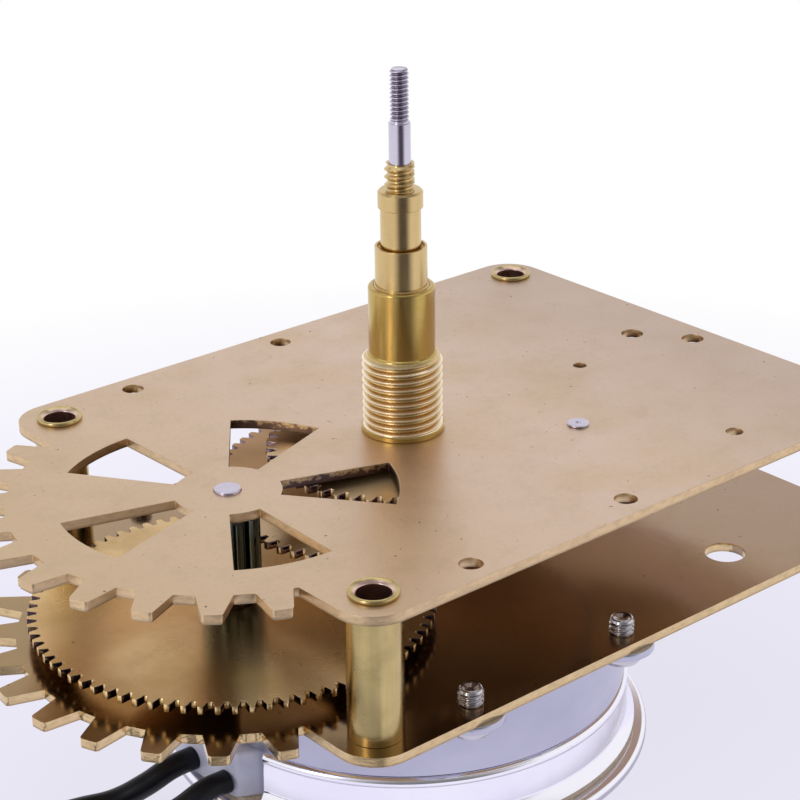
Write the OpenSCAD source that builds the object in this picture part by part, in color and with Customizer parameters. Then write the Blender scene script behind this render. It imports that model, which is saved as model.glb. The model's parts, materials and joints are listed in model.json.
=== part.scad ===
// Electric tower clock movement: two brass plates on hollow pillars, an open
// wheel train, a three-part hand shaft and a synchronous gear motor.
// Origin: the hand shaft's axis, at the foot of the dial bush's thread.
// +Z points out of the dial, +X from the wheel-shaped end to the straight end.

/* [Plates] */
// Distance from the hand shaft to the straight end of the plates
plate_reach = 52.3; // [50:0.5:60]
// Length of the straight-sided part of the plates
plate_len = 88.1; // [84:0.5:96]
// Distance of the motor's screws from the plates' long edges
plate_margin = 3.3; // [3:0.1:5]
// Thickness of each plate
plate_t = 1.2; // [1:0.1:1.6]
// Clear space between the two plates
plate_gap = 16.2; // [16:0.1:19]
// Radius of the plates' corners
corner_r = 5; // [3:0.5:6]
// Diameter of the four holes for the dial's screws in the front plate
dial_hole_d = 2.8; // [2.4:0.1:3]

/* [Wheel-shaped end] */
// Number of teeth on the full circle of the wheel-shaped end
end_teeth = 25; // [21:1:29]
// Radius at the foot of those teeth
end_root_r = 26; // [25:0.1:27]
// Radius at the tip of those teeth
end_tip_r = 30.3; // [28:0.1:31]
// Width of a tooth at its foot
end_tooth_foot = 4.1; // [3.4:0.1:4.6]
// Width of a tooth at its tip
end_tooth_tip = 2.3; // [1.6:0.1:3]
// Number of windows and spokes
window_count = 5; // [3:1:6]
// Inner radius of the windows
window_in_r = 6.5; // [5:0.1:8]
// Outer radius of the windows
window_out_r = 20.3; // [17:0.1:22]
// Angle that one window spans
window_span = 33; // [20:1:40]

/* [Pillars] */
// Distance of each pillar from the plate's long edges and wheel-shaped end
pillar_inset = 5.1; // [4.6:0.1:6]
// Distance of the other two pillars from the straight end
pillar_inset_end = 4.8; // [4.6:0.1:6]
// Diameter of a pillar between the plates
pillar_d = 6.4; // [5.8:0.1:7]
// Diameter of the pillar's end where it passes through a plate
pillar_end_d = 4.9; // [4.6:0.1:5.2]
// Diameter of the pillar's bore
pillar_bore_d = 3.9; // [3:0.1:4]
// Diameter of the rolled rim
rim_d = 5.8; // [5.5:0.1:6.4]
// Height of the rolled rim above the plate
rim_h = 0.6; // [0.4:0.1:0.9]

/* [Dial bush] */
// Diameter of the bush's thread
bush_thread_d = 10; // [9.6:0.1:11]
// Length of the bush's thread
bush_thread_len = 9.45; // [7:0.05:12]
// Diameter of the ring at the bush's foot
bush_ring_d = 10.4; // [10.2:0.1:13]
// Height of that ring
bush_ring_h = 0.7; // [0.4:0.1:1.2]
// Diameter of the smooth neck
neck_d = 8.2; // [7.8:0.1:9]
// Length of the smooth neck
neck_len = 8.85; // [6:0.05:12]
// Diameter of the bush's shank in the front plate
bush_shank_d = 8.6; // [8:0.1:9]

/* [Hand shafts] */
// Outer diameter of the hour pipe where the hour hand sits
hour_pipe_d = 6.4; // [6:0.1:6.4]
// Outer diameter of the hour pipe where it turns in the bush
hour_bearing_d = 6.8; // [6.7:0.1:7]
// Length of the hour pipe above the bush
hour_pipe_show = 5.05; // [3:0.05:7]
// Diameter of the counterbore in the hour pipe's mouth
hour_mouth_d = 5.8; // [5.5:0.1:5.9]
// Outer diameter of the minute pipe
minute_pipe_d = 4.95; // [4.6:0.05:5.1]
// Length of the minute pipe above the hour pipe
minute_pipe_show = 4.85; // [3:0.05:7]
// Diameter of the minute pipe's collar
collar_d = 5.5; // [5.3:0.1:6.2]
// Length of the collar
collar_len = 2.2; // [1.6:0.1:3]
// Diameter of the minute hand's thread
minute_thread_d = 3.8; // [3.6:0.1:4.2]
// Length of the minute hand's thread
minute_thread_len = 3.3; // [2:0.1:4]
// Diameter of the seconds arbor
second_d = 2.65; // [2.4:0.05:2.8]
// Length of the plain arbor above the minute pipe
second_show = 5; // [4:0.1:7]
// Diameter of the seconds hand's thread
second_thread_d = 2.3; // [2:0.05:2.4]
// Length of the seconds hand's thread
second_thread_len = 6.45; // [5:0.05:8]

/* [Wheel train] */
// Distance from the hand shaft to the intermediate arbor
inter_dist = 27.2; // [26.8:0.1:28]
// Distance from the hand shaft to the motion stud
motion_dist = 21.9; // [21.5:0.1:22.5]
// Direction of the motion stud seen from the hand shaft
motion_angle = -40; // [-50:1:-30]
// Thickness of every wheel
wheel_t = 1; // [0.8:0.05:1.1]
// Teeth of the large intermediate wheel
inter_wheel_n = 80; // [76:1:84]
// Teeth of the pinion on the seconds arbor
second_pinion_n = 10; // [10:1:12]
// Teeth of the intermediate pinion
inter_pinion_n = 10; // [10:1:12]
// Teeth of the minute wheel
minute_wheel_n = 75; // [72:1:78]
// Teeth of the minute pinion
minute_pinion_n = 15; // [14:1:16]
// Teeth of the motion wheel
motion_wheel_n = 54; // [50:1:56]
// Teeth of the motion pinion
motion_pinion_n = 15; // [14:1:16]
// Teeth of the hour wheel
hour_wheel_n = 50; // [48:1:54]
// Pressure angle of the teeth
pressure_angle = 20; // [20:1:25]
// Play taken off each tooth's thickness
backlash = 0.07; // [0.06:0.01:0.12]
// Diameter of the intermediate arbor
inter_arbor_d = 3.2; // [2.8:0.1:3.4]
// Diameter of the motion stud
stud_d = 2.4; // [2:0.1:2.6]
// Diameter of the motion stud's riveted head
stud_head_d = 2.8; // [2.7:0.1:3.4]

/* [Motor] */
// Radius of the gearbox case
case_r = 28.5; // [27:0.1:29]
// Height of the gearbox case
case_h = 13.4; // [12:0.1:16]
// Thickness of the mounting flange
flange_t = 1; // [0.8:0.1:1.4]
// Radius of each ear of the flange
ear_r = 4; // [3.6:0.1:4.6]
// Diameter of the motor's screws
screw_d = 3; // [2.6:0.1:3]
// Distance of the screws' rows outside the gearbox case
screw_off = 4.3; // [4:0.1:6]
// Place along X of the screws nearer the wheel-shaped end
screw_x1 = -18.3; // [-20:0.1:-17]
// Place along X of the other screws
screw_x2 = 6; // [5:0.1:8]
// Step from the gearbox case's wall out to the motor can's
can_step = 0.5; // [0.3:0.1:0.8]
// Height of the motor can
can_h = 6.9; // [6.5:0.1:8]
// Distance that the widest rim stands out of the motor can
rim_out = 2.6; // [2:0.1:3.4]
// Height of the base below the sealing ring
base_h = 2.4; // [2:0.1:3]
// Height of the sealing ring
seal_h = 0.7; // [0.5:0.1:1]
// Diameter of the gearbox's output shaft
output_d = 4; // [3.6:0.1:4.2]
// First angle of the cut-out for the terminal block
cut_from = 152; // [150:1:153]
// Last angle of the cut-out for the terminal block
cut_to = 192; // [192:1:195]
// Distance that the terminal block stands out of the motor can
block_out = 1.8; // [1.4:0.1:2.2]
// Diameter of the sleeving on the two leads
lead_d = 3; // [2.8:0.1:3.1]

/* [Hidden] */
$fn = 96;

// Clearances: a turning pair, a pressed pair, a thread and an arbor's end play.
run_gap = 0.05;
press_gap = 0.02;
thread_gap = 0.06;
end_gap = 0.3;

// Heights of the plates' faces.
front_out = -bush_ring_h;
front_in = front_out - plate_t;
back_in = front_in - plate_gap;
back_out = back_in - plate_t;
plate_left = plate_reach - plate_len;

// The wheels' upper faces, measured down from the front plate's inner face.
hour_wheel_z = front_in - 0.8;
motion_wheel_z = hour_wheel_z - wheel_t - 0.6;
minute_pinion_z = hour_wheel_z - wheel_t - end_gap;
minute_pinion_h = wheel_t + 0.6;
minute_wheel_z = motion_wheel_z - wheel_t - 2.1;
inter_wheel_z = back_in + wheel_t + 1.7;
inter_pinion_z = hour_wheel_z - wheel_t;
inter_pinion_h = inter_pinion_z - inter_wheel_z - 1.1;

// Tops of the parts of the hand shaft.
bush_top = bush_thread_len + neck_len;
hour_top = bush_top + hour_pipe_show;
minute_top = hour_top + minute_pipe_show;
collar_top = minute_top + collar_len;
minute_thread_top = collar_top + minute_thread_len;
second_top = minute_thread_top + second_show;
thread_top = second_top + second_thread_len;

// Hubs: a wheel's shoulder, its rivet below the wheel, and an arbor's collar.
minute_hub_d = 8;
minute_rivet_d = 6.4;
inter_hub_d = 5.4;
inter_rivet_d = 4.6;
rivet_h = 0.7;
shoulder_d = 4.4;
shoulder_h = 0.8;

// Lower ends of the hand shaft's parts.
minute_low = minute_wheel_z - wheel_t - rivet_h;
sleeve_top = inter_wheel_z - wheel_t - rivet_h;
sleeve_low = back_out - flange_t + end_gap;
joint_z = (sleeve_top + sleeve_low) / 2;
sleeve_d = 7;
output_bush_h = 3.4;
output_bore_h = 6.3;

// Heights of the motor.
flange_z = back_out - flange_t;
case_low = flange_z - case_h;
can_low = case_low - can_h;
seal_low = can_low - seal_h;
floor_z = seal_low - base_h;
can_r = case_r + can_step;
base_r = can_r + rim_out;
block_face = can_r + block_out;
block_depth = 2.2;

// Width of the plates, from the rows of screws beside the motor.
screw_y = case_r + screw_off;
plate_w = 2 * (screw_y + plate_margin);

// Axes of the train.
inter_at = [-inter_dist, 0];
motion_at = motion_dist * [cos(motion_angle), sin(motion_angle)];

// Size of a tooth: module, then heights above and below the pitch circle, in
// modules, for the large wheels and for the pinions.
inter_mod = 2 * inter_dist / (inter_wheel_n + second_pinion_n);
minute_mod = 2 * inter_dist / (minute_wheel_n + inter_pinion_n);
motion_mod = 2 * motion_dist / (motion_wheel_n + minute_pinion_n);
hour_mod = 2 * motion_dist / (hour_wheel_n + motion_pinion_n);
wheel_head = 0.6;
wheel_foot = 1.3;
pinion_head = 0.75;
pinion_foot = 1.05;
flank_steps = 3;
function is_wheel(n) = n > 30;

// Other holes seen in the front plate: place along X, along Y and diameter.
front_holes = [
  [44, 2.8, 3], [48.8, -4, 3], [30.6, -0.5, 1.8], [29.7, -28.5, 2.2]
];
// The one large hole in the back plate.
back_hole = [30.2, -27.6, 5.2];

screw_places = [for (x = [screw_x1, screw_x2], y = [-screw_y, screw_y]) [x, y]];
screw_head_d = 5.4;
screw_head_h = 1.9;
screw_out = 1.8;

pillar_places = [
  for (x = [plate_left + pillar_inset, plate_reach - pillar_inset_end],
       y = [-1, 1] * (plate_w / 2 - pillar_inset)) [x, y]
];

// Routes of the two leads along their middle lines: out of the terminal block,
// down to the ground and round towards the front, clear of the base.
lead_r = lead_d / 2;
ground = floor_z + lead_r;
lead_exit_z = case_low - 4.8;
lead_left_route = [
  [-block_face, 5, lead_exit_z], [-34, 5, lead_exit_z], [-37.4, 6, lead_exit_z - 1.6],
  [-41, 7.8, ground + 0.4], [-45, 9.5, ground], [-51, 11, ground],
  [-58, 12, ground], [-65, 11.5, ground], [-72, 9, ground], [-78, 4.5, ground],
  [-82, -2, ground], [-84, -10, ground], [-84, -20, ground], [-82, -31, ground],
  [-79.5, -42, ground], [-75, -53, ground], [-68.5, -62.5, ground], [-60, -69, ground],
  [-50, -73, ground], [-40, -74.5, ground]
];
lead_right_route = [
  [-block_face, -2, lead_exit_z], [-34, -2, lead_exit_z], [-37.4, -1.2, lead_exit_z - 1.6],
  [-41, 0.4, ground + 0.4], [-45, 2.4, ground], [-51, 4.2, ground],
  [-58, 5.4, ground], [-64, 4.8, ground], [-70, 2.4, ground], [-74.6, -2, ground],
  [-77.6, -8, ground], [-79, -15, ground], [-79, -24, ground], [-77, -34, ground],
  [-74.2, -44, ground], [-70, -53, ground], [-64, -60.5, ground], [-56, -65.5, ground],
  [-47, -68.5, ground], [-38, -69.5, ground]
];

// Involute of an angle in degrees.
function inv(a) = tan(a) * 180 / PI - a;

// Half the angle of a tooth at radius r.
function half_tooth(r, n, m) =
  let (pitch_r = m * n / 2, base = pitch_r * cos(pressure_angle))
  90 / n - backlash / 2 / pitch_r * 180 / PI + inv(pressure_angle)
  - (r > base ? inv(acos(base / r)) : 0);

// Radii of the points along a tooth's flank, from foot to tip.
function flank_radii(n, m) =
  let (
    foot = m * (n / 2 - (is_wheel(n) ? wheel_foot : pinion_foot)),
    tip = m * (n / 2 + (is_wheel(n) ? wheel_head : pinion_head)),
    base = m * n / 2 * cos(pressure_angle),
    low = max(foot, base)
  )
  concat(
    base > foot + 0.01 ? [foot] : [],
    [for (k = [0 : flank_steps]) low + (tip - low) * k / flank_steps]
  );

function polar(r, a) = r * [cos(a), sin(a)];

// Outline of an involute wheel with n teeth, one of them centred on angle at.
module gear_outline(n, m, at = 0) {
  radii = flank_radii(n, m);
  last = len(radii) - 1;
  polygon([
    for (i = [0 : n - 1]) let (a = at + 360 * i / n) each concat(
      [for (k = [0 : last]) polar(radii[k], a - half_tooth(radii[k], n, m))],
      [for (k = [last : -1 : 0]) polar(radii[k], a + half_tooth(radii[k], n, m))]
    )
  ]);
}

// A wheel of the train with its upper face at z = top.
module gear(n, m, at, top, h, bore_d) {
  translate([0, 0, top - h])
    linear_extrude(height = h)
      difference() {
        gear_outline(n, m, at);
        circle(d = bore_d);
      }
}

// A plain ring or collar between two heights.
module collar(d, bore_d, low, high) {
  translate([0, 0, low])
    difference() {
      cylinder(d = d, h = high - low);
      translate([0, 0, -1]) cylinder(d = bore_d, h = high - low + 2);
    }
}

// A rectangle with round corners between two opposite corners.
module round_rect(low, high, r) {
  translate([low.x + r, low.y]) square([high.x - low.x - 2 * r, high.y - low.y]);
  translate([low.x, low.y + r]) square([high.x - low.x, high.y - low.y - 2 * r]);
  for (x = [low.x + r, high.x - r], y = [low.y + r, high.y - r])
    translate([x, y]) circle(r = r);
}

// One coarse tooth of the wheel-shaped end, with its corners eased.
module end_tooth() {
  ease = 0.35;
  foot = end_root_r - 1;
  slope = (end_tooth_foot - end_tooth_tip) / 2 / (end_tip_r - end_root_r);
  tip = end_tooth_tip / 2;
  polygon([
    [foot, -end_tooth_foot / 2 - slope],
    [end_tip_r - ease, -tip - slope * ease],
    [end_tip_r - 0.3 * ease, -tip + 0.3 * ease],
    [end_tip_r, -tip + ease],
    [end_tip_r, tip - ease],
    [end_tip_r - 0.3 * ease, tip - 0.3 * ease],
    [end_tip_r - ease, tip + slope * ease],
    [foot, end_tooth_foot / 2 + slope]
  ]);
}

module end_windows() {
  for (i = [0 : window_count - 1])
    rotate(i * 360 / window_count + 180 / window_count)
      intersection() {
        difference() {
          circle(r = window_out_r);
          circle(r = window_in_r);
        }
        polygon([
          [0, 0],
          polar(2 * window_out_r, -window_span / 2),
          polar(2 * window_out_r, window_span / 2)
        ]);
      }
}

// Outline that both plates share: pierced wheel shape and holes for the pillars.
module plate_outline() {
  difference() {
    union() {
      round_rect([plate_left, -plate_w / 2], [plate_reach, plate_w / 2], corner_r);
      translate(inter_at) {
        circle(r = end_root_r);
        for (i = [0 : end_teeth - 1])
          rotate(180 + (i + 0.5) * 360 / end_teeth)
            if (abs(i + 0.5 - end_teeth) < 5 || i < 5) end_tooth();
      }
    }
    translate(inter_at) {
      end_windows();
      circle(d = inter_arbor_d + 2 * run_gap);
    }
    for (p = pillar_places) translate(p) circle(d = pillar_end_d + 2 * press_gap);
  }
}

module front_plate() {
  color("burlywood")
    translate([0, 0, front_in])
      linear_extrude(height = plate_t)
        difference() {
          plate_outline();
          circle(d = bush_shank_d + 2 * press_gap);
          translate(motion_at) circle(d = stud_d + 2 * press_gap);
          for (p = screw_places) translate(p) circle(d = dial_hole_d);
          for (h = front_holes) translate([h[0], h[1]]) circle(d = h[2]);
        }
}

module back_plate() {
  color("tan")
    translate([0, 0, back_out])
      linear_extrude(height = plate_t)
        difference() {
          plate_outline();
          circle(d = sleeve_d + 1.4);
          for (p = screw_places) translate(p) circle(d = screw_d + 2 * thread_gap);
          translate([back_hole[0], back_hole[1]]) circle(d = back_hole[2]);
        }
}

// Half section of a pillar's rolled rim: from the bore over the crest to the plate.
function rim_points() =
  let (hole = pillar_bore_d / 2, rim = rim_d / 2)
  [
    [hole, 0.25 * rim_h], [rim - 0.45, 0.85 * rim_h], [rim - 0.28, rim_h],
    [rim - 0.1, 0.85 * rim_h], [rim, 0.5 * rim_h], [rim - 0.08, 0]
  ];

// Half section of one pillar: body, reduced ends and rolled rims.
module pillar_section() {
  body = pillar_d / 2;
  neck = pillar_end_d / 2;
  rolled = rim_points();
  polygon(concat(
    [for (p = rolled) [p.x, back_out - p.y]],
    [[neck, back_out], [neck, back_in], [body, back_in]],
    [[body, front_in], [neck, front_in], [neck, front_out]],
    [for (k = [len(rolled) - 1 : -1 : 0]) [rolled[k].x, front_out + rolled[k].y]]
  ));
}

module pillars() {
  color("darkkhaki")
    for (p = pillar_places) translate(p) rotate_extrude() pillar_section();
}

module dial_bush() {
  chamfer = 0.3;
  color("goldenrod")
    difference() {
      union() {
        translate([0, 0, front_in - end_gap]) cylinder(d = bush_shank_d, h = plate_t + end_gap);
        translate([0, 0, front_out]) cylinder(d = bush_ring_d, h = bush_ring_h);
        cylinder(d = bush_thread_d, h = bush_thread_len);
        translate([0, 0, bush_thread_len]) cylinder(d = neck_d, h = neck_len - chamfer);
        translate([0, 0, bush_top - chamfer])
          cylinder(d1 = neck_d, d2 = neck_d - 2 * chamfer, h = chamfer);
      }
      translate([0, 0, front_in - 1])
        cylinder(d = hour_bearing_d + 2 * run_gap, h = bush_top - front_in + 2);
    }
}

// The hour pipe: a bearing as high as the bush, and a thinner seat for the hand.
module hour_pipe() {
  low = hour_wheel_z - wheel_t;
  mouth = 0.5;
  step = 0.05;
  color("gold")
    difference() {
      union() {
        translate([0, 0, low]) cylinder(d = hour_bearing_d, h = bush_top + step - low);
        translate([0, 0, low]) cylinder(d = hour_pipe_d, h = hour_top - low);
      }
      translate([0, 0, low - 1]) cylinder(d = minute_pipe_d + 2 * run_gap, h = hour_top - low + 2);
      translate([0, 0, hour_top - mouth]) cylinder(d = hour_mouth_d, h = mouth + 1);
    }
}

module hour_wheel() {
  color("burlywood")
    gear(hour_wheel_n, hour_mod, motion_angle + 180 / hour_wheel_n,
         hour_wheel_z, wheel_t, hour_bearing_d + 2 * press_gap);
}

module minute_pipe() {
  lip = 0.25;
  color("gold")
    difference() {
      union() {
        translate([0, 0, minute_low]) cylinder(d = minute_pipe_d, h = minute_top - minute_low);
        translate([0, 0, minute_top]) cylinder(d = collar_d, h = collar_len - lip);
        translate([0, 0, collar_top - lip])
          cylinder(d1 = collar_d, d2 = collar_d - 2 * lip, h = lip);
        translate([0, 0, collar_top]) cylinder(d = minute_thread_d, h = minute_thread_len);
      }
      translate([0, 0, minute_low - 1])
        cylinder(d = second_d + 2 * run_gap, h = minute_thread_top - minute_low + 2);
    }
}

module minute_pinion() {
  color("goldenrod")
    gear(minute_pinion_n, motion_mod, motion_angle,
         minute_pinion_z, minute_pinion_h, minute_pipe_d + 2 * press_gap);
}

// Hub that carries the minute wheel: a wide shoulder above it and a rivet below.
module minute_hub() {
  hole = minute_pipe_d + 2 * press_gap;
  color("goldenrod") {
    collar(minute_hub_d, hole, minute_wheel_z, minute_pinion_z - minute_pinion_h);
    collar(minute_rivet_d, hole, minute_low, minute_wheel_z);
  }
}

module minute_wheel() {
  color("burlywood")
    gear(minute_wheel_n, minute_mod, 180 + 180 / minute_wheel_n,
         minute_wheel_z, wheel_t, minute_rivet_d + 2 * press_gap);
}

// Arbor of the seconds hand; its shoulder carries the minute pipe.
module second_arbor() {
  tip = 0.3;
  color("lightsteelblue") {
    translate([0, 0, minute_low - end_gap - shoulder_h]) cylinder(d = shoulder_d, h = shoulder_h);
    translate([0, 0, joint_z + 0.2]) cylinder(d = second_d, h = second_top - joint_z - 0.2);
    translate([0, 0, second_top]) cylinder(d = second_thread_d, h = second_thread_len - tip);
    translate([0, 0, thread_top - tip])
      cylinder(d1 = second_thread_d, d2 = second_thread_d - 2 * tip, h = tip);
  }
}

module second_pinion() {
  top = inter_wheel_z + 0.5;
  color("silver")
    gear(second_pinion_n, inter_mod, 180 + 180 / second_pinion_n,
         top, top - sleeve_top, second_d + 2 * press_gap);
}

// Sleeve that joins the seconds arbor to the gearbox's output shaft.
module drive_sleeve() {
  color("goldenrod") {
    collar(sleeve_d, second_d + 2 * press_gap, joint_z, sleeve_top);
    collar(sleeve_d, output_d + 2 * press_gap, sleeve_low, joint_z);
  }
}

module output_shaft() {
  low = flange_z - output_bore_h + end_gap;
  color("lightsteelblue")
    translate([0, 0, low]) cylinder(d = output_d, h = joint_z - 0.1 - low);
}

module intermediate_arbor() {
  shoulder = front_in - end_gap;
  color("lightsteelblue")
    translate(inter_at) {
      translate([0, 0, back_out + 0.2])
        cylinder(d = inter_arbor_d, h = front_out - back_out - 0.2 + end_gap);
      collar(inter_rivet_d, inter_arbor_d, inter_pinion_z, shoulder);
    }
}

module intermediate_pinion() {
  color("dimgray")
    translate(inter_at)
      gear(inter_pinion_n, minute_mod, 0, inter_pinion_z, inter_pinion_h,
           inter_arbor_d + 2 * press_gap);
}

// Hub that carries the large wheel: a shoulder above it and a rivet below.
module intermediate_hub() {
  hole = inter_arbor_d + 2 * press_gap;
  color("goldenrod")
    translate(inter_at) {
      collar(inter_hub_d, hole, inter_wheel_z, inter_pinion_z - inter_pinion_h);
      collar(inter_rivet_d, hole, back_in + end_gap, inter_wheel_z);
    }
}

module intermediate_wheel() {
  color("burlywood")
    translate(inter_at)
      gear(inter_wheel_n, inter_mod, 0, inter_wheel_z, wheel_t, inter_rivet_d + 2 * press_gap);
}

// Stud riveted into the front plate, with a groove for its clip.
module motion_stud() {
  clip_z = motion_wheel_z - wheel_t - end_gap;
  color("silver")
    translate(motion_at) {
      translate([0, 0, clip_z - 1.1])
        difference() {
          cylinder(d = stud_d, h = front_out - clip_z + 1.1);
          translate([0, 0, 0.5]) collar(stud_d + 2, stud_d - 0.6, 0, 0.6);
        }
      difference() {
        translate([0, 0, front_out]) cylinder(d = stud_head_d, h = 0.3);
        translate([0, 0, front_out + 0.1]) cylinder(d = 0.6, h = 1);
      }
    }
}

module stud_clip() {
  top = motion_wheel_z - wheel_t - end_gap;
  color("slategray")
    translate(motion_at)
      difference() {
        collar(4.6, stud_d - 0.6 + 2 * press_gap, top - 0.5, top - 0.05);
        translate([0, -0.7, top - 1]) cube([4, 1.4, 2]);
      }
}

module motion_wheel() {
  color("burlywood")
    translate(motion_at)
      gear(motion_wheel_n, motion_mod, motion_angle + 180 + 180 / motion_wheel_n,
           motion_wheel_z, wheel_t, stud_d + 2 * run_gap);
}

module motion_pinion() {
  top = front_in - end_gap;
  color("goldenrod")
    translate(motion_at)
      gear(motion_pinion_n, hour_mod, motion_angle + 180, top, top - motion_wheel_z,
           stud_d + 2 * run_gap);
}

// Flange on the gearbox, with four ears.
module mounting_flange() {
  color("gainsboro")
    translate([0, 0, flange_z])
      linear_extrude(height = flange_t)
        difference() {
          union() {
            circle(r = case_r);
            for (p = screw_places) {
              translate(p) circle(r = ear_r);
              rotate(atan2(p.y, p.x))
                polygon([
                  [case_r - 3, -ear_r - 1.5], [norm(p), -ear_r + 0.3],
                  [norm(p), ear_r - 0.3], [case_r - 3, ear_r + 1.5]
                ]);
            }
          }
          circle(d = sleeve_d + 2);
          for (p = screw_places) translate(p) circle(d = screw_d + 0.4);
        }
}

module motor_screws() {
  head_low = flange_z - screw_head_h;
  color("silver")
    for (p = screw_places) translate(p) {
      rotate_extrude()
        polygon([
          [0, head_low], [screw_head_d / 2 - 0.8, head_low], [screw_head_d / 2 - 0.2, head_low + 0.5],
          [screw_head_d / 2, head_low + 1.1], [screw_head_d / 2, flange_z], [0, flange_z]
        ]);
      difference() {
        translate([0, 0, flange_z]) cylinder(d = screw_d, h = back_in + screw_out - flange_z);
        translate([0, 0, back_in + screw_out - 0.35])
          cylinder(d1 = 0.8, d2 = screw_d - 0.5, h = 0.4);
      }
    }
}

// Closed case of the gearbox, with a blind bore for the output bush and shaft.
module gearbox_case() {
  round_r = 0.6;
  color("lightgray")
    difference() {
      rotate_extrude()
        polygon([
          [0, case_low], [case_r, case_low], [case_r, flange_z - round_r],
          [case_r - 0.2 * round_r, flange_z - 0.3 * round_r], [case_r - round_r, flange_z], [0, flange_z]
        ]);
      translate([0, 0, flange_z - output_bush_h]) cylinder(d = output_d + 2, h = case_h);
      translate([0, 0, flange_z - output_bore_h]) cylinder(d = output_d + 1, h = case_h);
    }
}

module output_bush() {
  color("peru")
    collar(output_d + 2 - 2 * press_gap, output_d + 2 * run_gap, flange_z - output_bush_h, flange_z);
}

// Closed can of the motor: a rolled lip at the top, a flare at the bottom and a
// gap in its wall for the terminal block.
module motor_can() {
  lip = 1.4;
  color("whitesmoke")
    difference() {
      rotate_extrude()
        polygon([
          [0, case_low], [case_r - 0.3, case_low], [case_r + 0.1, case_low - 0.15],
          [can_r - 0.1, case_low - 0.5], [can_r, case_low - lip * 0.7], [can_r - 0.15, case_low - lip],
          [can_r - 0.1, can_low + 1.6], [can_r + 0.4, can_low + 0.8], [can_r + 1.1, can_low],
          [0, can_low]
        ]);
      translate([0, 0, can_low - 1]) linear_extrude(height = can_h + 2) wall_gap();
    }
}

// Plan of the gap in the can's wall.
module wall_gap() {
  difference() {
    polygon([[0, 0], polar(60, cut_from), polar(60, (cut_from + cut_to) / 2), polar(60, cut_to)]);
    circle(r = can_r - block_depth);
  }
}

module sealing_ring() {
  color("sienna") collar(2 * can_r + 2, 2 * can_r - 6, seal_low, can_low);
}

// Cover that closes the motor from below, with the widest rim.
module base_cover() {
  color("gainsboro")
    rotate_extrude()
      polygon([
        [0, floor_z], [can_r - 0.6, floor_z], [base_r - 0.5, floor_z + 0.6],
        [base_r, floor_z + 1], [base_r, seal_low - 0.5], [base_r - 0.4, seal_low],
        [can_r - 3.2, seal_low], [can_r - 3.2, can_low], [0, can_low]
      ]);
}

// Moulded block in the can's gap; the two leads leave through its outer face.
module terminal_block() {
  ease = 1.6;
  low_y = can_r * sin(cut_to) + 1;
  high_y = can_r * sin(cut_from) - 1;
  back = can_r - block_depth - 1;
  color("gainsboro")
    translate([0, 0, can_low])
      linear_extrude(height = can_h - 0.4)
        difference() {
          polygon([
            [-back, low_y], [-block_face + 2 * ease, low_y], [-block_face + 0.3 * ease, low_y + ease],
            [-block_face, low_y + 2 * ease], [-block_face, high_y - 3 * ease],
            [-block_face + 0.4 * ease, high_y - 1.6 * ease], [-block_face + 2.4 * ease, high_y - 0.2 * ease],
            [-back, high_y]
          ]);
          circle(r = can_r - block_depth + press_gap);
        }
}

// Unit vector along the step from a to b.
function heading(a, b) = (b - a) / norm(b - a);

// A round tube of eight sides along a route, its ends square to the route.
module tube(route, r) {
  sides = 8;
  count = len(route);
  rings = [
    for (i = [0 : count - 1])
      let (
        along = heading(route[max(i - 1, 0)], route[min(i + 1, count - 1)]),
        side = heading([0, 0, 0], cross([0, 0, 1], along)),
        up = cross(along, side)
      )
      [for (k = [0 : sides - 1]) route[i] + r * (cos(k * 360 / sides) * side + sin(k * 360 / sides) * up)]
  ];
  walls = [
    for (i = [0 : count - 2], k = [0 : sides - 1])
      let (a = i * sides + k, b = i * sides + (k + 1) % sides)
      each [[a, a + sides, b + sides], [a, b + sides, b]]
  ];
  first = [for (k = [1 : sides - 2]) [0, k, k + 1]];
  end = (count - 1) * sides;
  final = [for (k = [1 : sides - 2]) [end, end + k + 1, end + k]];
  polyhedron(points = [for (ring = rings) each ring], faces = concat(walls, first, final));
}

module lead_left() {
  color("black") tube(lead_left_route, lead_r);
}

module lead_right() {
  color("black") tube(lead_right_route, lead_r);
}

front_plate();
back_plate();
pillars();
dial_bush();
hour_pipe();
hour_wheel();
minute_pipe();
minute_pinion();
minute_hub();
minute_wheel();
second_arbor();
second_pinion();
drive_sleeve();
output_shaft();
intermediate_arbor();
intermediate_pinion();
intermediate_hub();
intermediate_wheel();
motion_stud();
stud_clip();
motion_wheel();
motion_pinion();
mounting_flange();
motor_screws();
gearbox_case();
output_bush();
motor_can();
sealing_ring();
base_cover();
terminal_block();
lead_left();
lead_right();
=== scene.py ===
"""Electric tower clock movement: looks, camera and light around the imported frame."""

import json
import math

import bmesh
import bpy
from mathutils import Matrix, Vector

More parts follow.
